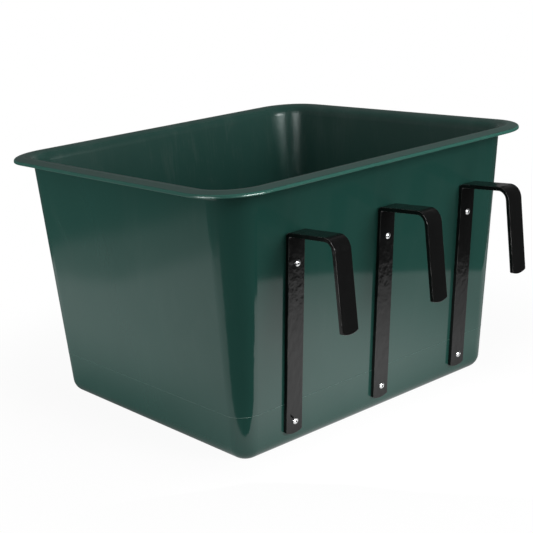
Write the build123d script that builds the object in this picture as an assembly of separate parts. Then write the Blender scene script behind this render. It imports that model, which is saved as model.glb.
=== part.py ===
from build123d import *
import math
import os

os.makedirs("parts", exist_ok=True)

# Tub, measured on its outer faces
tub_height = 340.0
base_length = 436.0
base_width = 388.0
base_corner = 22.0
base_edge = 20.0
mouth_length = 480.0
mouth_width = 443.0
mouth_corner = 41.5
mouth_shift = 13.0
wall = 4.0

# Rim, rolled outward from the mouth
rim_reach = 25.0
rim_roll = 15.0
rim_slope = 10.0
rim_top_round = 3.0
rim_under_round = 0.8

# Flat bar of the hooks
bar_width = 25.0
bar_thickness = 5.0
bar_edge = 0.6
bar_corner = 1.5
bar_end_radius = 28.0

# Hooks on the back wall
hook_pitch = 148.0
hook_row_shift = -5.0
hook_foot = 20.5
bridge_height = 275.7
bridge_rise = 2.7
rail_gap = 69.0
leg_length = 111.3
root_bend = 2.0
outer_bend = 11.0

# Blind rivets, two to each hook
rivet_below_bridge = 38.2
rivet_above_foot = 16.0
rivet_offset = -1.5
shank_diameter = 4.0
head_diameter = 8.2
head_height = 2.2
head_brim = 0.5
bulb_diameter = 6.0
bulb_length = 5.0
bulb_round = 1.2
stem_diameter = 2.2
stem_recess = 0.7
stem_tip_diameter = 3.4
stem_tip_length = 1.4
washer_diameter = 12.0
washer_thickness = 1.2

# Clearances
hole_clearance = 0.1
stem_clearance = 0.02

# Back wall, on which the hooks lie
back_rise = mouth_shift + (mouth_width - base_width) / 2
back_up = Vector(0, back_rise, tub_height).normalized()
back_out = Vector(0, tub_height, -back_rise).normalized()
wall_across = wall * back_out.Y

# Bridge of a hook, square to its leg
bridge_out = Vector(0, math.cos(math.radians(bridge_rise)), math.sin(math.radians(bridge_rise)))
bridge_up = Vector(0, -bridge_out.Z, bridge_out.Y)

hook_places = {
    "right": hook_row_shift + hook_pitch,
    "middle": hook_row_shift,
    "left": hook_row_shift - hook_pitch,
}
rivet_heights = {"upper": bridge_height - rivet_below_bridge, "lower": hook_foot + rivet_above_foot}


def wall_outline(height, inset):
    """Outline of the drafted walls at a height, drawn in by an inset."""
    share = height / tub_height
    length = base_length + (mouth_length - base_length) * share - 2 * inset
    width = base_width + (mouth_width - base_width) * share - 2 * inset
    corner = base_corner + (mouth_corner - base_corner) * share - inset
    return Pos(0, mouth_shift * share, height) * RectangleRounded(length, width, corner)


def rim_outline(height):
    """Outline of the rim's outer edge at a height."""
    length = mouth_length + 2 * rim_reach
    width = mouth_width + 2 * rim_reach
    return Pos(0, mouth_shift, height) * RectangleRounded(length, width, mouth_corner + rim_reach)


def rim_top(reach):
    """Height of the rim's sloping top at a distance outside the wall."""
    slope = math.radians(rim_slope)
    past_crest = reach - (rim_roll - wall)
    return tub_height - rim_roll + rim_roll / math.cos(slope) - past_crest * math.tan(slope)


def edges_on(solid, outline):
    """Edges of a solid that lie on an outline, one for each of its sides and corners."""
    middles = [edge.position_at(0.5) for edge in outline.edges()]
    return ShapeList(
        min(solid.edges(), key=lambda edge: (edge.position_at(0.5) - middle).length) for middle in middles
    )


def wall_point(x, height, out):
    """Point at a height on the back wall's outer face, moved out square to it."""
    on_face = Vector(x, base_width / 2 + back_rise * height / tub_height, height)
    return on_face + back_out * out


def across_wall(x, height, near, far, radius):
    """Round bar square to the back wall, between two distances from its outer face."""
    start = Plane(origin=wall_point(x, height, near), x_dir=(1, 0, 0), z_dir=back_out)
    return extrude(start * Circle(radius), far - near)


def drafted_block(low, high):
    """Solid between two matching rounded outlines, with flat walls and ruled corners."""
    faces = [low.face(), high.face()]
    for below, above in zip(low.face().outer_wire().edges(), high.face().outer_wire().edges()):
        if below.geom_type == GeomType.LINE:
            faces.append(Face(Wire.make_polygon([below @ 0, below @ 1, above @ 1, above @ 0])))
        else:
            faces.append(Face.make_surface_from_curves(below, above))
    return Part() + Solid(Shell(faces))


def make_tub():
    """Moulded tub with its rolled rim and its rivet holes."""
    drop = wall / math.cos(math.radians(rim_slope))
    edge_top = rim_outline(rim_top(rim_reach))
    edge_bottom = rim_outline(rim_top(rim_reach) - drop)
    throat = wall_outline(rim_top(0) - drop, 0)
    mouth = wall_outline(rim_top(-wall), wall)
    floor = wall_outline(wall, wall)
    base = wall_outline(0, 0)

    rim = extrude(edge_bottom, drop) + loft([edge_top, mouth], ruled=True)
    rim -= loft([edge_bottom, throat], ruled=True)
    tub = rim + drafted_block(base, throat)
    tub = fillet(edges_on(tub, throat), rim_roll - wall)
    tub = fillet(edges_on(tub, base), base_edge)
    tub = fillet(edges_on(tub, edge_top), rim_top_round)
    tub = fillet(edges_on(tub, edge_bottom), rim_under_round)

    cavity = drafted_block(floor, mouth)
    cavity = fillet(edges_on(cavity, floor), base_edge - wall)
    tub -= cavity
    tub = fillet(edges_on(tub, mouth), rim_roll)

    hole = shank_diameter / 2 + hole_clearance
    for x in hook_places.values():
        for height in rivet_heights.values():
            tub -= across_wall(x + rivet_offset, height, -2 * wall, wall, hole)
    return tub


def crossing(point, direction, other_point, other_direction):
    """Point where two lines in the plane square to X meet."""
    gap = other_point - point
    turn = direction.Y * other_direction.Z - direction.Z * other_direction.Y
    along = (gap.Y * other_direction.Z - gap.Z * other_direction.Y) / turn
    return point + direction * along


def bar_path(x):
    """Middle line of a hook's bar, from its foot up the wall, over the bridge and down the leg."""
    half = bar_thickness / 2
    foot = wall_point(x, hook_foot, half)
    bridge_top = wall_point(x, bridge_height, 0)
    bridge_middle = bridge_top - bridge_up * half
    root = crossing(foot, back_up, bridge_middle, bridge_out)
    inner_corner = crossing(foot + back_out * half, back_up, bridge_middle - bridge_up * half, bridge_out)
    shoulder = inner_corner + bridge_out * (rail_gap + half) + bridge_up * half
    tip = shoulder + bridge_up * (half - leg_length)
    return FilletPolyline(foot, root, shoulder, tip, radius=[root_bend + half, outer_bend + half])


def end_waste(tip, inward, thickness):
    """Solid outside the arc at an end of a hook's bar, from the end's middle and its inward direction."""
    flat = Plane(origin=tip, x_dir=(1, 0, 0), z_dir=thickness)
    side = bar_width
    deep = bar_end_radius if flat.y_dir.dot(inward) > 0 else -bar_end_radius
    around = flat * (Rectangle(2 * side, 2 * side) - Pos(0, deep) * Circle(bar_end_radius))
    return extrude(around, bar_thickness, both=True)


def make_hook(x):
    """Flat bar bent to a hook, with rounded ends and edges and its two rivet holes."""
    path = bar_path(x)
    start = Plane(origin=path @ 0, x_dir=(1, 0, 0), z_dir=path % 0)
    bar = sweep(start * Rectangle(bar_width, bar_thickness), path=path)
    bar -= end_waste(path @ 0, path % 0, back_out)
    bar -= end_waste(path @ 1, -(path % 1), bridge_out)

    through = bar.edges().filter_by(lambda edge: abs(edge.length - bar_thickness) < 0.001)
    bar = fillet(through, bar_corner)
    across = bar.edges().filter_by(Axis.X)
    through = bar.edges().filter_by(lambda edge: abs(edge.length - bar_thickness) < 0.001)
    bar = fillet(bar.edges() - across - through, bar_edge)

    hole = shank_diameter / 2 + hole_clearance
    for height in rivet_heights.values():
        bar -= across_wall(x + rivet_offset, height, -wall, 2 * bar_thickness, hole)
    return bar


def turned(lines, x, height):
    """Solid turned round a rivet's axis, from lines in radius and distance from the wall's outer face."""
    middle = wall_point(x + rivet_offset, height, 0)
    side = Plane(origin=middle, x_dir=(1, 0, 0), z_dir=back_up)
    return revolve(side * make_face(lines), Axis(middle, back_out))


def dome_height(radius):
    """Height of a rivet head's dome over the bar, at a distance from its middle."""
    rise = head_height - head_brim
    ball = ((head_diameter / 2) ** 2 + rise**2) / (2 * rise)
    return head_height - ball + math.sqrt(ball**2 - radius**2)


def make_rivet(x, height):
    """Blind rivet: domed head on the bar, shank through bar and wall, spread tail inside the tub."""
    seat = bar_thickness
    tail = -(wall_across + washer_thickness)
    end = tail - bulb_length
    bore = stem_diameter / 2
    shank = shank_diameter / 2
    head = head_diameter / 2
    bulb = bulb_diameter / 2
    half_way = (bore + head) / 2
    dome = ThreePointArc(
        (bore, seat + dome_height(bore)),
        (half_way, seat + dome_height(half_way)),
        (head, seat + head_brim),
    )
    outside = FilletPolyline(
        (head, seat + head_brim),
        (head, seat),
        (shank, seat),
        (shank, tail),
        (bulb, tail),
        (bulb, end),
        (bore, end),
        radius=[0, 0, 0, bulb_round / 2, bulb_round],
    )
    inside = Line((bore, end), (bore, seat + dome_height(bore)))
    return turned([dome, outside, inside], x, height)


def make_stem(x, height):
    """Steel stem left in a blind rivet, broken off under the dome, with its head behind the tail."""
    top = bar_thickness + head_height - stem_recess
    end = -(wall_across + washer_thickness + bulb_length)
    pin = stem_diameter / 2 - stem_clearance
    tip = stem_tip_diameter / 2
    profile = Polyline(
        (0, top),
        (pin, top),
        (pin, end),
        (tip, end),
        (tip, end - stem_tip_length / 2),
        (tip / 2, end - stem_tip_length),
        (0, end - stem_tip_length),
        (0, top),
    )
    return turned([profile], x, height)


def make_washer(x, height):
    """Flat washer between the tub's inner face and the rivet's tail."""
    middle = x + rivet_offset
    ring = across_wall(middle, height, -(wall_across + washer_thickness), -wall_across, washer_diameter / 2)
    return ring - across_wall(middle, height, -2 * wall - washer_thickness, 0, shank_diameter / 2 + hole_clearance)


export_step(make_tub(), "parts/tub.step")
for side, x in hook_places.items():
    export_step(make_hook(x), f"parts/hook_{side}.step")
    for level, height in rivet_heights.items():
        export_step(make_rivet(x, height), f"parts/rivet_{side}_{level}.step")
        export_step(make_stem(x, height), f"parts/stem_{side}_{level}.step")
        export_step(make_washer(x, height), f"parts/washer_{side}_{level}.step")
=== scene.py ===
"""Fence feeder: a green moulded tub on three black flat-bar hooks, dressed for rendering."""
import math

import bmesh
import bpy
from mathutils import Matrix, Vector


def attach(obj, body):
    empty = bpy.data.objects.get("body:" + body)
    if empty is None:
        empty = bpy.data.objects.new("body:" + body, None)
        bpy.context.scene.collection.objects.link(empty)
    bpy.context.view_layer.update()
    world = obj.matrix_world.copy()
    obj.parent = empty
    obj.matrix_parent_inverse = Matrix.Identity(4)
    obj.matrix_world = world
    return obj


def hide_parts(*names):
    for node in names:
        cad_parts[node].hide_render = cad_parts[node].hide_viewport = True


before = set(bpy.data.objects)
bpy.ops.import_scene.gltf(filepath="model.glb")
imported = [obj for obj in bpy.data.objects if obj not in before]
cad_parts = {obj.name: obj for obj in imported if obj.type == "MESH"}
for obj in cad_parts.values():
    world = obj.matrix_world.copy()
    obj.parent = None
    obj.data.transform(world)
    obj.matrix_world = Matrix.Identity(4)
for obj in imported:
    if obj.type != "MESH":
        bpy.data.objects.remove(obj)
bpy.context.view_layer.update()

# Tub, on its outer faces, in metres; its lip is the rim's outer edge above LIP_HEIGHT
TUB_HEIGHT = 0.340
BASE_LENGTH, BASE_WIDTH, BASE_CORNER = 0.436, 0.388, 0.022
MOUTH_LENGTH, MOUTH_WIDTH, MOUTH_CORNER = 0.480, 0.443, 0.0415
MOUTH_SHIFT = 0.013
WALL = 0.004
LIP_HEIGHT = 0.3336
MOULD_LINE_HEIGHT, MOULD_LINE_RADIUS = 0.0605, 0.00022

# Hooks and the two rows of rivets that hold them
HOOK_PITCH = 0.148
HOOK_ROW_SHIFT = -0.005
BAR_THICKNESS = 0.005
RIVET_OFFSET = -0.0015
RIVET_HEIGHTS = {"upper": 0.2375, "lower": 0.0365}
HOOK_SIDES = ("right", "middle", "left")

# Blind rivets, from the wall's outer face
SHANK, BORE, HEAD, BULB = 0.002, 0.0011, 0.0041, 0.003
HEAD_HEIGHT, BRIM = 0.0022, 0.0005
BULB_LENGTH = 0.005
WASHER_RADIUS, WASHER_THICKNESS = 0.006, 0.0012
STEM_RECESS, STEM_TIP, STEM_TIP_LENGTH = 0.0007, 0.0017, 0.0014
HOLE_CLEARANCE, STEM_CLEARANCE = 0.0001, 0.00002

BACK_RISE = MOUTH_SHIFT + (MOUTH_WIDTH - BASE_WIDTH) / 2
WALL_LEAN = math.atan2(BACK_RISE, TUB_HEIGHT)
TAIL = -(WALL * math.cos(WALL_LEAN) + WASHER_THICKNESS)


class Reading:
    """A value that changes from place to place; sums with it add Math nodes."""

    def __init__(self, tree, socket):
        self.tree = tree
        self.socket = socket

    def math(self, operation, *others):
        values = {place: other for place, other in enumerate((self, *others))}
        return self.tree.node("ShaderNodeMath", {"operation": operation}, values)

    def __add__(self, other):
        return self.math("ADD", other)

    def __sub__(self, other):
        return self.math("SUBTRACT", other)

    def __mul__(self, other):
        return self.math("MULTIPLY", other)

    def __pow__(self, other):
        return self.math("POWER", other)

    def __abs__(self):
        return self.math("ABSOLUTE")

    def __rsub__(self, other):
        return (self * -1.0) + other

    __radd__ = __add__
    __rmul__ = __mul__


class Tree:
    """A node tree, with one method that adds any node."""

    def __init__(self, nodes):
        self.nodes = nodes
        self.nodes.nodes.clear()

    def node(self, kind, settings=None, values=None, output=0):
        """Adds a node: first its settings, then the values or links of its sockets."""
        made = self.nodes.nodes.new(kind)
        for setting, value in (settings or {}).items():
            setattr(made, setting, value)
        for place, value in (values or {}).items():
            socket = made.inputs[place]
            if isinstance(value, Reading):
                self.nodes.links.new(value.socket, socket)
            else:
                socket.default_value = value
        return Reading(self, made.outputs[output]) if made.outputs else None


class Finish(Tree):
    """A material and the nodes that make its look."""

    def __init__(self, name):
        self.material = bpy.data.materials.new(name)
        self.material.use_nodes = True
        super().__init__(self.material.node_tree)

    def place(self):
        """The point on the surface, in the part's own frame."""
        return self.node("ShaderNodeTexCoord", output="Object")

    def along(self, axis):
        """One coordinate of the point on the surface."""
        return self.node("ShaderNodeSeparateXYZ", values={0: self.place()}, output=axis)

    def facing(self, axis):
        """One part of the surface's outward direction."""
        outward = self.node("ShaderNodeNewGeometry", output="Normal")
        return self.node("ShaderNodeSeparateXYZ", values={0: outward}, output=axis)

    def stretched(self, scale, shift, turn):
        """The point on the surface, turned, shifted and then stretched along each axis."""
        values = {"Vector": self.place(), "Location": shift, "Rotation": turn, "Scale": scale}
        return self.node("ShaderNodeMapping", values=values)

    def noise(
        self, scale, detail=3.0, roughness=0.55, distortion=0.0, shift=(0.0, 0.0, 0.0), turn=(0.0, 0.0, 0.0)
    ):
        """Noise from 0 to 1, with a scale for each axis in bumps a metre."""
        values = {
            "Vector": self.stretched(scale, shift, turn),
            "Scale": 1.0,
            "Detail": detail,
            "Roughness": roughness,
            "Distortion": distortion,
        }
        return self.node("ShaderNodeTexNoise", values=values)

    def between(self, value, low, high, start=0.0, end=1.0):
        """Rises smoothly from start to end as a value goes from low to high."""
        values = {0: value, 1: low, 2: high, 3: start, 4: end}
        return self.node("ShaderNodeMapRange", {"interpolation_type": "SMOOTHSTEP"}, values)

    def blend(self, share, one, other):
        """A colour between two colours."""
        values = {
            "Factor": share,
            6: one if isinstance(one, Reading) else (*one, 1.0),
            7: other if isinstance(other, Reading) else (*other, 1.0),
        }
        return self.node("ShaderNodeMix", {"data_type": "RGBA"}, values, output=2)

    def bump(self, height, strength, distance):
        """Surface normal of a fine relief."""
        values = {"Strength": strength, "Distance": distance, "Height": height}
        return self.node("ShaderNodeBump", values=values)

    def glow(self, strength):
        """White light that the surface gives off."""
        return self.node("ShaderNodeEmission", values={"Color": (1.0, 1.0, 1.0, 1.0), "Strength": strength})

    def end_in(self, shader):
        """Ends the finish in a shader and returns its material."""
        self.node("ShaderNodeOutputMaterial", values={"Surface": shader})
        return self.material

    def surface(self, **values):
        """Ends the finish in a Principled shader; spaces in its socket names are written as underscores."""
        named = {name.replace("_", " "): value for name, value in values.items()}
        return self.end_in(self.node("ShaderNodeBsdfPrincipled", values=named))


class Recipe(Tree):
    """A Geometry Nodes tree with named inputs, run once to make a plain mesh."""

    def __init__(self, name):
        self.name = name
        self.group = bpy.data.node_groups.new(name, "GeometryNodeTree")
        super().__init__(self.group)
        self.group.interface.new_socket("Mesh", in_out="OUTPUT", socket_type="NodeSocketGeometry")
        self.inputs = self.group.nodes.new("NodeGroupInput")
        self.given = {}

    def size(self, name, value, kind="Float"):
        """Adds a named input and the value it is given."""
        socket = self.group.interface.new_socket(name, in_out="INPUT", socket_type=f"NodeSocket{kind}")
        self.given[socket.identifier] = value
        return Reading(self, self.inputs.outputs[name])

    def make(self, shape, material):
        """Runs the tree and returns the object that holds its plain mesh."""
        whole = self.node("GeometryNodeRealizeInstances", values={0: shape})
        coated = self.node("GeometryNodeSetMaterial", values={"Geometry": whole, "Material": material})
        self.node("NodeGroupOutput", values={0: coated})
        piece = bpy.data.objects.new(self.name, bpy.data.meshes.new(self.name))
        bpy.context.scene.collection.objects.link(piece)
        modifier = piece.modifiers.new(self.name, "NODES")
        modifier.node_group = self.group
        for identifier, value in self.given.items():
            modifier[identifier] = value
        depsgraph = bpy.context.evaluated_depsgraph_get()
        mesh = bpy.data.meshes.new_from_object(piece.evaluated_get(depsgraph), depsgraph=depsgraph)
        piece.modifiers.remove(modifier)
        piece.data = mesh
        return piece


def green_plastic():
    """Deep green moulded plastic: glossy outside, scuffed inside, with painted light on its lip, and rubbed
    dull on top.
    """
    deep_green, clouded_green = (0.0105, 0.046, 0.0365), (0.0130, 0.055, 0.0445)
    painted_lit_lip_green, feed_dust = (0.026, 0.105, 0.082), (0.16, 0.19, 0.18)
    lip_fade = 0.0006
    skin = Finish("green_plastic")
    height = skin.along("Z")
    outward = skin.facing("X") * skin.along("X") + skin.facing("Y") * (skin.along("Y") - MOUTH_SHIFT)
    inside = skin.between(outward * -1.0, 0.0, 0.02)
    lip = skin.between(outward, 0.12, 0.17) * skin.between(height, LIP_HEIGHT, LIP_HEIGHT + lip_fade)
    end_walls = skin.between(abs(skin.facing("X")), 0.4, 0.95)
    rubbed_top = skin.between(skin.facing("Z"), 0.70, 0.96)

    cloudy = skin.noise((9.0, 9.0, 6.0), detail=4.0)
    streaks = skin.noise((34.0, 34.0, 9.0), detail=4.0, shift=(0.3, 0.1, 0.0))
    wipes = skin.noise((22.0, 22.0, 9.0), detail=4.0, distortion=0.9, turn=(0.6, 0.5, 0.0))
    scratches = skin.noise((420.0, 420.0, 14.0), detail=2.0, turn=(0.35, -0.30, 0.0))
    grain = skin.noise((900.0, 900.0, 900.0), detail=2.0)
    waves = skin.noise((11.0, 11.0, 7.0), detail=1.0, shift=(0.7, 0.2, 0.4))

    colour = skin.blend(cloudy, deep_green, clouded_green)
    # Painted light: the lip is painted a paler green, half as strongly on the end walls as on the back.
    colour = skin.blend(lip * (1.0 - end_walls * 0.5), colour, painted_lit_lip_green)
    dusty = skin.between(wipes, 0.50, 0.75) * 0.02
    scuffed = inside * (skin.between(scratches * 0.4 + wipes * 0.6, 0.50, 0.70) * 0.07 + streaks * 0.05)
    colour = skin.blend(dusty + scuffed, colour, feed_dust)

    dullness = 0.06 + wipes * 0.04 + end_walls * 0.08 + inside * 0.17 + lip * 0.14 + rubbed_top * 0.30
    relief = waves + grain * 0.010 + inside * scratches * 0.02
    return skin.surface(
        Base_Color=colour,
        Roughness=dullness,
        IOR=1.5,
        Normal=skin.bump(relief, 0.35, 0.0016),
    )


def dark_streak_mark(paint):
    """Dark mark that runs from beside the lower rivet of the right hook, up and toward +X."""
    steepness, above_middle = 1.05, 0.0009
    across = paint.along("X") - (HOOK_ROW_SHIFT + HOOK_PITCH + RIVET_OFFSET)
    up = paint.along("Z") - RIVET_HEIGHTS["lower"]
    ragged = paint.noise((900.0, 900.0, 900.0), detail=2.0)
    off_line = abs(up - across * steepness - above_middle) + ragged * 0.0008
    length = paint.between(across, 0.0026, 0.0034) - paint.between(across, 0.0076, 0.0086)
    return length * paint.between(off_line, 0.0014, 0.0026, 1.0, 0.0)


def seam_painted_highlight():
    """The mould line's own plastic, dull and painted pale: a painted highlight that shows the seam as a light
    line.
    """
    skin = Finish("seam_painted_highlight")
    seam_mottle = skin.noise((90.0, 90.0, 90.0), detail=3.0)
    # Painted highlight: the seam's pale green stands in for the light line the ridge catches.
    colour = skin.blend(seam_mottle, (0.040, 0.095, 0.078), (0.060, 0.125, 0.105))
    return skin.surface(
        Base_Color=colour,
        Roughness=0.45 + seam_mottle * 0.2,
        Normal=skin.bump(seam_mottle, 0.3, 0.0003),
    )


def black_paint():
    """Thick black gloss paint on flat steel bar, a little wrinkled, thin and pale along its edges: wear and a
    painted edge highlight.
    """
    black, scuffed_black = (0.0036, 0.0037, 0.0037), (0.0056, 0.0058, 0.0057)
    wear_and_highlight_grey, mark_black = (0.10, 0.10, 0.095), (0.0012, 0.0012, 0.0012)
    paint = Finish("black_paint")
    wrinkles = paint.noise((130.0, 130.0, 90.0), detail=2.0)
    grain = paint.noise((1400.0, 1400.0, 1400.0), detail=2.0)
    scuffs = paint.noise((60.0, 60.0, 22.0), detail=5.0, roughness=0.65)

    sideways = abs(paint.facing("X"))
    edge = paint.between(sideways, 0.20, 0.45) - paint.between(sideways, 0.80, 0.97)
    # Pale grey on the rounded long edges: partly wear, partly a painted highlight of the light the edges
    # catch.
    wear_and_highlight = edge * paint.between(scuffs, 0.44, 0.60)
    # A dark, unreflecting streak beside the lower rivet of the right hook.
    dark_patch = dark_streak_mark(paint)
    colour = paint.blend(scuffs, black, scuffed_black)
    colour = paint.blend(wear_and_highlight * 0.45, colour, wear_and_highlight_grey)
    colour = paint.blend(dark_patch, colour, mark_black)
    return paint.surface(
        Base_Color=colour,
        Metallic=dark_patch,
        Roughness=0.13 + scuffs * 0.10 + wear_and_highlight * 0.2 + dark_patch * 0.5,
        IOR=1.38,
        Normal=paint.bump(wrinkles + grain * 0.02, 0.75, 0.0009),
    )


def rivet_aluminium():
    """Drawn aluminium, bright on the dome with a little grey dirt in its grain."""
    metal = Finish("rivet_aluminium")
    dark_patch = metal.noise((700.0, 700.0, 700.0), detail=4.0)
    scratches = metal.noise((2600.0, 500.0, 900.0), detail=2.0)
    colour = metal.blend(metal.between(dark_patch, 0.42, 0.68), (0.80, 0.81, 0.82), (0.42, 0.42, 0.41))
    return metal.surface(
        Base_Color=colour,
        Metallic=1.0,
        Roughness=0.24 + dark_patch * 0.18,
        Normal=metal.bump(scratches + dark_patch * 0.5, 0.25, 0.0002),
    )


def stem_steel():
    """Steel of a broken-off rivet stem, dull and slightly brown, painted near black as painted shade in the
    dome's mouth.
    """
    metal = Finish("stem_steel")
    torn = metal.noise((1900.0, 1900.0, 1900.0), detail=4.0)
    brown = metal.noise((400.0, 400.0, 400.0), detail=3.0)
    # Painted shade: the stem's steel is painted near black for the shade inside the rivet's mouth.
    colour = metal.blend(metal.between(brown, 0.45, 0.7), (0.07, 0.07, 0.07), (0.05, 0.035, 0.025))
    return metal.surface(
        Base_Color=colour,
        Metallic=0.9,
        Roughness=0.42 + torn * 0.2,
        Normal=metal.bump(torn, 0.6, 0.0003),
    )


def washer_steel():
    """Zinc-plated washer: pale, finely brushed, with cloudy plating."""
    metal = Finish("washer_steel")
    brushed = metal.noise((2200.0, 300.0, 300.0), detail=2.0)
    cloudy = metal.noise((260.0, 260.0, 260.0), detail=3.0)
    colour = metal.blend(cloudy, (0.62, 0.63, 0.62), (0.48, 0.48, 0.46))
    return metal.surface(
        Base_Color=colour,
        Metallic=1.0,
        Roughness=0.34 + cloudy * 0.16,
        Normal=metal.bump(brushed + cloudy * 0.4, 0.25, 0.0002),
    )


def coat(node, material):
    """Gives every material slot of a CAD node the same finish."""
    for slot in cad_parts[node].material_slots:
        slot.material = material


def link_mesh(name, points, faces):
    """New object with a mesh of the given points and faces."""
    made = bpy.data.objects.new(name, bpy.data.meshes.new(name))
    made.data.from_pydata(points, [], faces)
    bpy.context.scene.collection.objects.link(made)
    return made


def white_floor():
    """Pale floor that keeps a light shadow; further out the camera sees it as white as the background."""
    reach, shadow_fades, shadow_ends = 30.0, 0.325, 0.65
    white_share_near = 0.94
    corners = [(-reach, -reach, 0.0), (reach, -reach, 0.0), (reach, reach, 0.0), (-reach, reach, 0.0)]
    floor = link_mesh("floor", corners, [(0, 1, 2, 3)])
    pale = Finish("floor")
    seen = pale.node("ShaderNodeLightPath", output="Is Camera Ray")
    away = pale.node("ShaderNodeVectorMath", {"operation": "LENGTH"}, {0: pale.place()}, output="Value")
    plain = pale.between(away, shadow_fades, shadow_ends, white_share_near, 1.0)
    matt = pale.node("ShaderNodeBsdfDiffuse", values={"Color": (0.82, 0.82, 0.82, 1.0)})
    mixed = pale.node("ShaderNodeMixShader", values={0: seen * plain, 1: matt, 2: pale.glow(1.0)})
    floor.data.materials.append(pale.end_in(mixed))
    floor.visible_glossy = False
    floor.visible_diffuse = False


def table_glow():
    """Glow of the table top: a painted pool of light beside the hooks, and painted shadow at the foot and
    beside the +X end.
    """
    white = Finish("white_table")
    beside_hooks = {0: white.place(), 1: (0.05, 0.30, 0.0)}
    distance = white.node("ShaderNodeVectorMath", {"operation": "DISTANCE"}, beside_hooks, output="Value")
    pool = white.between(distance, 0.08, 0.42, 1.42, 0.62)

    past_end = (abs(white.along("X")) - BASE_LENGTH / 2).math("MAXIMUM", 0.0)
    past_side = (abs(white.along("Y")) - BASE_WIDTH / 2).math("MAXIMUM", 0.0)
    from_foot = (past_end * past_end + past_side * past_side).math("SQRT")
    foot_shade = white.between(from_foot, 0.0, 0.09, 0.62, 1.0)
    beside_end = white.between(white.along("X"), 0.22, 0.38, 0.42, 1.0)
    beyond_corner = white.between(white.along("Y"), 0.12, 0.24)
    end_shade = beside_end + (1.0 - beside_end) * beyond_corner
    return white.end_in(white.glow(pool * foot_shade * end_shade))


def white_table():
    """Glowing white table top and a dimmer glowing grey apron, hidden from the camera: they light the feeder
    and are mirrored.
    """
    on_floor = 0.0002
    # Outlines in metres, set so that the lower walls mirror their edges where the photograph does
    top = [
        (-1.10, 0.05), (-0.55, 0.33), (-0.45, 0.400), (-0.347, 0.457), (-0.272, 0.494), (-0.212, 0.530),
        (-0.18, 0.544), (-0.14, 0.556), (-0.10, 0.556), (0.04, 0.545), (0.072, 0.479), (0.134, 0.386),
        (0.168, 0.321), (0.217, 0.257), (0.240, 0.232), (0.278, 0.213), (0.363, 0.163), (0.444, 0.142),
        (0.563, 0.125), (0.858, 0.070), (0.725, -0.430), (0.620, -0.450), (0.500, -0.500), (0.440, -0.800),
        (-1.10, -1.20),
    ]
    apron = [
        (0.725, -0.430), (0.810, -0.540), (0.860, -0.665), (0.700, -0.700), (0.603, -0.786), (0.440, -0.800),
        (0.500, -0.500), (0.620, -0.450),
    ]
    grey = Finish("grey_apron")
    grey_glow = grey.end_in(grey.glow(0.30))
    for name, outline, material in (("white_table", top, table_glow()), ("grey_apron", apron, grey_glow)):
        points = [(x, y, on_floor) for x, y in outline]
        sheet = link_mesh(name, points, [tuple(reversed(range(len(points))))])
        sheet.data.materials.append(material)
        sheet.visible_camera = False
        sheet.visible_shadow = False


def studio_world(soft, gloss):
    """White to the camera, soft light to the object, and in its gloss a dim room with a paler far side."""
    far_side = Vector((-0.67, -0.61, 0.42)).normalized()
    open_side = (0.63, 0.77, 0.0)
    below_horizon, haze = 0.08, 0.1
    world = bpy.data.worlds.new("studio")
    bpy.context.scene.world = world
    world.use_nodes = True
    room = Tree(world.node_tree)
    camera_ray = room.node("ShaderNodeLightPath", output="Is Camera Ray")
    gloss_ray = room.node("ShaderNodeLightPath", output="Is Glossy Ray")
    looking = room.node("ShaderNodeTexCoord", output="Generated")

    def toward(direction):
        """How far a ray looks along a direction, and none where it looks away."""
        both = {0: looking, 1: direction}
        along = room.node("ShaderNodeVectorMath", {"operation": "DOT_PRODUCT"}, both, output="Value")
        return along.math("MAXIMUM", 0.0)

    dim = toward(far_side) ** 6.0 * 0.20 + gloss
    height = room.node("ShaderNodeSeparateXYZ", values={0: looking}, output="Z")
    horizon = {0: height, 1: -haze, 2: haze, 3: below_horizon, 4: soft}
    above = room.node("ShaderNodeMapRange", {"interpolation_type": "SMOOTHSTEP"}, horizon)
    even = above * (1.0 - toward(open_side) ** 2.0 * 0.6)
    on_object = room.node("ShaderNodeMix", values={0: gloss_ray, 2: even, 3: dim})
    strength = room.node("ShaderNodeMix", values={0: camera_ray, 2: on_object, 3: 1.0})
    light = room.node("ShaderNodeBackground", values={"Color": (1.0, 1.0, 1.0, 1.0), "Strength": strength})
    room.node("ShaderNodeOutputWorld", values={"Surface": light})


def softbox(name, azimuth, elevation, width, height, power, seen_as):
    """Rectangular lamp that faces the feeder, as soft light or as a sheen; azimuth runs from +X to +Y."""
    middle, distance = Vector((0.0, 0.0, 0.25)), 2.2
    turn, lift = math.radians(azimuth), math.radians(elevation)
    toward = Vector((math.cos(turn) * math.cos(lift), math.sin(turn) * math.cos(lift), math.sin(lift)))
    lamp = bpy.data.lights.new(name, "AREA")
    lamp.shape = "RECTANGLE"
    lamp.size, lamp.size_y = width, height
    lamp.energy = power
    box = bpy.data.objects.new(name, lamp)
    box.location = middle + toward * distance
    box.rotation_mode = "QUATERNION"
    box.rotation_quaternion = toward.to_track_quat("Z", "Y")
    box.visible_glossy = seen_as == "sheen"
    box.visible_diffuse = seen_as == "light"
    box.visible_camera = False
    bpy.context.scene.collection.objects.link(box)


def camera():
    """The photograph's viewpoint, fitted to its outlines: on the hooks' side, above the rim and toward +X."""
    place = Vector((1.009573, 1.227226, 0.600535))
    right = Vector((-0.75788868, 0.64832139, -0.07269194))
    up = Vector((-0.22625686, -0.15670144, 0.96138051))
    back = Vector((0.61189262, 0.74506646, 0.26544941))
    lens = bpy.data.cameras.new("camera")
    lens.sensor_width = 36.0
    lens.lens = 81.189
    lens.shift_x = 0.000566
    lens.shift_y = -0.000892
    lens.clip_start = 0.05
    lens.clip_end = 60.0
    stand = bpy.data.objects.new("camera", lens)
    turn = Matrix((right, up, back)).transposed().to_4x4()
    stand.matrix_world = Matrix.Translation(place) @ turn
    bpy.context.scene.collection.objects.link(stand)
    bpy.context.scene.camera = stand


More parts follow.
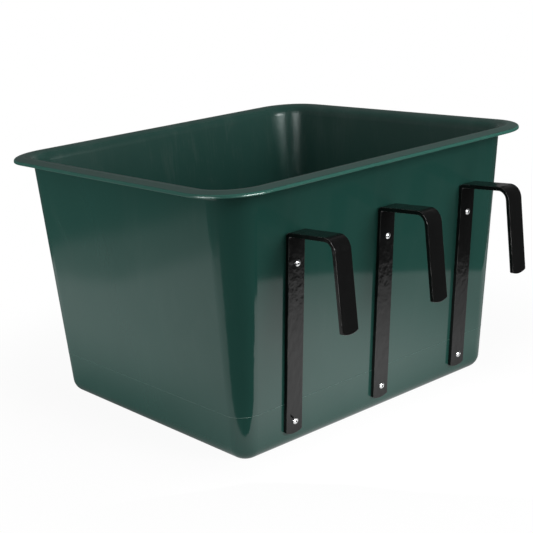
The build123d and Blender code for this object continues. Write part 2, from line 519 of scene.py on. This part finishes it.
def turned_master(name, profile, steps=40):
    """Closed solid turned about Z from a profile of radii and heights, to be set out by a recipe."""
    form = bmesh.new()
    rings = []
    for radius, height in profile:
        count = steps if radius > 0 else 1
        turns = [2 * math.pi * step / steps for step in range(count)]
        rings.append([form.verts.new((radius * math.cos(t), radius * math.sin(t), height)) for t in turns])
    for below, above in zip(rings, rings[1:] + rings[:1]):
        if len(below) == len(above) == 1:
            continue
        for step in range(steps):
            after = (step + 1) % steps
            corners = [below[step % len(below)], below[after % len(below)]]
            corners += [above[after % len(above)], above[step % len(above)]]
            form.faces.new(list(dict.fromkeys(corners)))
    bmesh.ops.recalc_face_normals(form, faces=form.faces)
    for face in form.faces:
        face.smooth = True
    mesh = bpy.data.meshes.new(name)
    form.to_mesh(mesh)
    form.free()
    return bpy.data.objects.new(name, mesh)


def arc(middle, radius, start, end, steps):
    """Points of an arc in a profile, with its angles in degrees from the radius axis."""
    points = []
    for step in range(steps + 1):
        angle = math.radians(start + (end - start) * step / steps)
        points.append((middle[0] + radius * math.cos(angle), middle[1] + radius * math.sin(angle)))
    return points


def rivet_profile():
    """Blind rivet: dome with a punched mouth, shank through bar and wall, and tail spread over the washer."""
    seat = BAR_THICKNESS
    rise = HEAD_HEIGHT - BRIM
    ball = (HEAD**2 + rise**2) / (2 * rise)
    end = TAIL - BULB_LENGTH
    punched, brim_round, off_bar = 0.00035, 0.00022, 0.00006
    collar_round, end_round = 0.0006, 0.0012
    mouth_out, mouth_down, brim_reach = 0.00012, 0.0001, 0.00018
    dome_start, dome_end, dome_steps = BORE + punched, HEAD - brim_reach, 10
    dome = []
    for step in range(dome_steps + 1):
        radius = dome_start + (dome_end - dome_start) * step / dome_steps
        dome.append((radius, seat + HEAD_HEIGHT - ball + math.sqrt(ball**2 - radius**2)))
    dome_top = dome[0][1]
    mouth = [(BORE, dome_top - punched), (BORE + mouth_out, dome_top - mouth_down)]
    brim = arc((HEAD - brim_round, seat + off_bar + brim_round), brim_round, 40.0, -90.0, 6)
    tail = arc((BULB - collar_round, TAIL - collar_round), collar_round, 90.0, 0.0, 5)
    tail += arc((BULB - end_round, end + end_round), end_round, 0.0, -90.0, 6)
    return [(BORE, end), *mouth, *dome, *brim, (SHANK, seat + off_bar), (SHANK, TAIL), *tail]


def stem_profile():
    """Broken stem: a torn, slightly cupped end in the dome, and a swelling head behind the tail."""
    top = BAR_THICKNESS + HEAD_HEIGHT - STEM_RECESS
    end = TAIL - BULB_LENGTH
    tip = end - STEM_TIP_LENGTH
    pin = BORE - STEM_CLEARANCE
    torn_edge, swelling_round = 0.00018, 0.0003
    broken = [(0.0, top - 0.00025), (0.00045, top - 0.0002), (0.0008, top - 0.00003), (pin - 0.00012, top)]
    swelling = arc((STEM_TIP - swelling_round, end - swelling_round), swelling_round, 90.0, 0.0, 4)
    foot = [(STEM_TIP, end - STEM_TIP_LENGTH / 2), (STEM_TIP / 2, tip), (0.0, tip)]
    return [*broken, (pin, top - torn_edge), (pin, end), *swelling, *foot]


def washer_profile():
    """Flat washer with stamped edges: rounded on one face, sharp on the other."""
    face = TAIL + WASHER_THICKNESS
    hole = SHANK + HOLE_CLEARANCE
    outer_round, inner_round, burr = 0.0003, 0.0002, 0.00005
    outer = arc((WASHER_RADIUS - outer_round, TAIL + outer_round), outer_round, 0.0, -90.0, 5)
    inner = arc((hole + inner_round, TAIL + inner_round), inner_round, -90.0, -180.0, 4)
    return [(hole, face), (WASHER_RADIUS - burr, face), (WASHER_RADIUS, face - burr), *outer, *inner]


def set_in_wall(name, profile, material, seed):
    """Sets a turned piece in every rivet place of the back wall, each turned differently on its axis."""
    upper, lower = RIVET_HEIGHTS["upper"], RIVET_HEIGHTS["lower"]
    middle_height = (upper + lower) / 2
    on_wall = BASE_WIDTH / 2 + BACK_RISE * middle_height / TUB_HEIGHT
    recipe = Recipe(name)
    master = recipe.size("One piece", turned_master(f"{name}_master", profile), "Object")
    pitch = recipe.size("Hook pitch", HOOK_PITCH)
    rows = recipe.size("Row distance", (upper - lower) / math.cos(WALL_LEAN))
    lean = recipe.size("Wall lean", WALL_LEAN)
    middle = recipe.size("Middle", (HOOK_ROW_SHIFT + RIVET_OFFSET, on_wall, middle_height), "Vector")
    draw = recipe.size("Seed", seed, "Int")

    columns_and_rows = {
        "Size X": pitch * (len(HOOK_SIDES) - 1.0),
        "Size Y": rows,
        "Vertices X": len(HOOK_SIDES),
        "Vertices Y": len(RIVET_HEIGHTS),
    }
    grid = recipe.node("GeometryNodeMeshGrid", values=columns_and_rows)
    stand_up = recipe.node("ShaderNodeCombineXYZ", values={0: math.pi / 2 - lean})
    stood = {"Geometry": grid, "Translation": middle, "Rotation": stand_up}
    places = recipe.node("GeometryNodeTransform", values=stood)
    shown = {"Object": master, "As Instance": True}
    one = recipe.node("GeometryNodeObjectInfo", values=shown, output="Geometry")
    outward = recipe.node("ShaderNodeCombineXYZ", values={0: (lean + math.pi / 2) * -1.0})
    placed = {"Points": places, "Instance": one, "Rotation": outward}
    set_out = recipe.node("GeometryNodeInstanceOnPoints", values=placed)
    any_turn = {2: 0.0, 3: math.tau, "Seed": draw}
    drawn = recipe.node("FunctionNodeRandomValue", {"data_type": "FLOAT"}, any_turn, output=1)
    own_turn = recipe.node("ShaderNodeCombineXYZ", values={2: drawn})
    rotated = {"Instances": set_out, "Rotation": own_turn, "Local Space": True}
    turned = recipe.node("GeometryNodeRotateInstances", values=rotated)
    return recipe.make(turned, material)


def mould_line(material):
    """Fine raised seam that the mould left round the tub, just above its rounded foot."""
    share = MOULD_LINE_HEIGHT / TUB_HEIGHT
    recipe = Recipe("mould_line")
    length = recipe.size("Length", BASE_LENGTH + (MOUTH_LENGTH - BASE_LENGTH) * share)
    width = recipe.size("Width", BASE_WIDTH + (MOUTH_WIDTH - BASE_WIDTH) * share)
    corner = recipe.size("Corner radius", BASE_CORNER + (MOUTH_CORNER - BASE_CORNER) * share)
    thickness = recipe.size("Thickness", MOULD_LINE_RADIUS)
    middle = recipe.size("Middle", (0.0, MOUTH_SHIFT * share, MOULD_LINE_HEIGHT), "Vector")

    outline = recipe.node("GeometryNodeCurvePrimitiveQuadrilateral", values={0: length, 1: width})
    corners = {"Curve": outline, "Count": 14, "Radius": corner}
    rounded = recipe.node("GeometryNodeFilletCurve", {"mode": "POLY"}, corners)
    lifted = recipe.node("GeometryNodeTransform", values={"Geometry": rounded, "Translation": middle})
    seam = recipe.node("GeometryNodeCurvePrimitiveCircle", values={"Resolution": 8, "Radius": thickness})
    ridge = recipe.node("GeometryNodeCurveToMesh", values={"Curve": lifted, "Profile Curve": seam})
    return recipe.make(ridge, material)


camera()
white_floor()
white_table()
studio_world(soft=0.85, gloss=0.05)
softbox("softbox_back", 99.0, 17.0, 0.9, 1.2, 32.0, "light")
softbox("softbox_end", -26.0, -3.0, 0.9, 0.3, 30.0, "light")
softbox("sheen_back", 84.0, 7.0, 1.5, 0.7, 80.0, "sheen")
softbox("sheen_end", 0.0, 7.0, 1.0, 0.6, 36.0, "sheen")

plastic, paint = green_plastic(), black_paint()
coat("tub", plastic)
for side in HOOK_SIDES:
    coat(f"hook_{side}", paint)

fastenings = {
    "rivet": ("rivets", rivet_profile(), rivet_aluminium(), "rivet_aluminium"),
    "stem": ("rivet_stems", stem_profile(), stem_steel(), "stem_steel"),
    "washer": ("rivet_washers", washer_profile(), washer_steel(), "washer_steel"),
}
for seed, (kind, (name, profile, material, slot)) in enumerate(fastenings.items()):
    piece = set_in_wall(name, profile, material, seed)
    nodes = [f"{kind}_{side}_{level}" for side in HOOK_SIDES for level in RIVET_HEIGHTS]
    for node in nodes:
        coat(node, material)
    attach(piece, "root")
    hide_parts(*nodes)
    bpy.data.objects.remove(bpy.data.objects[f"{name}_master"])

seam = mould_line(seam_painted_highlight())
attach(seam, "root")

bpy.context.scene.view_settings.view_transform = "Standard"
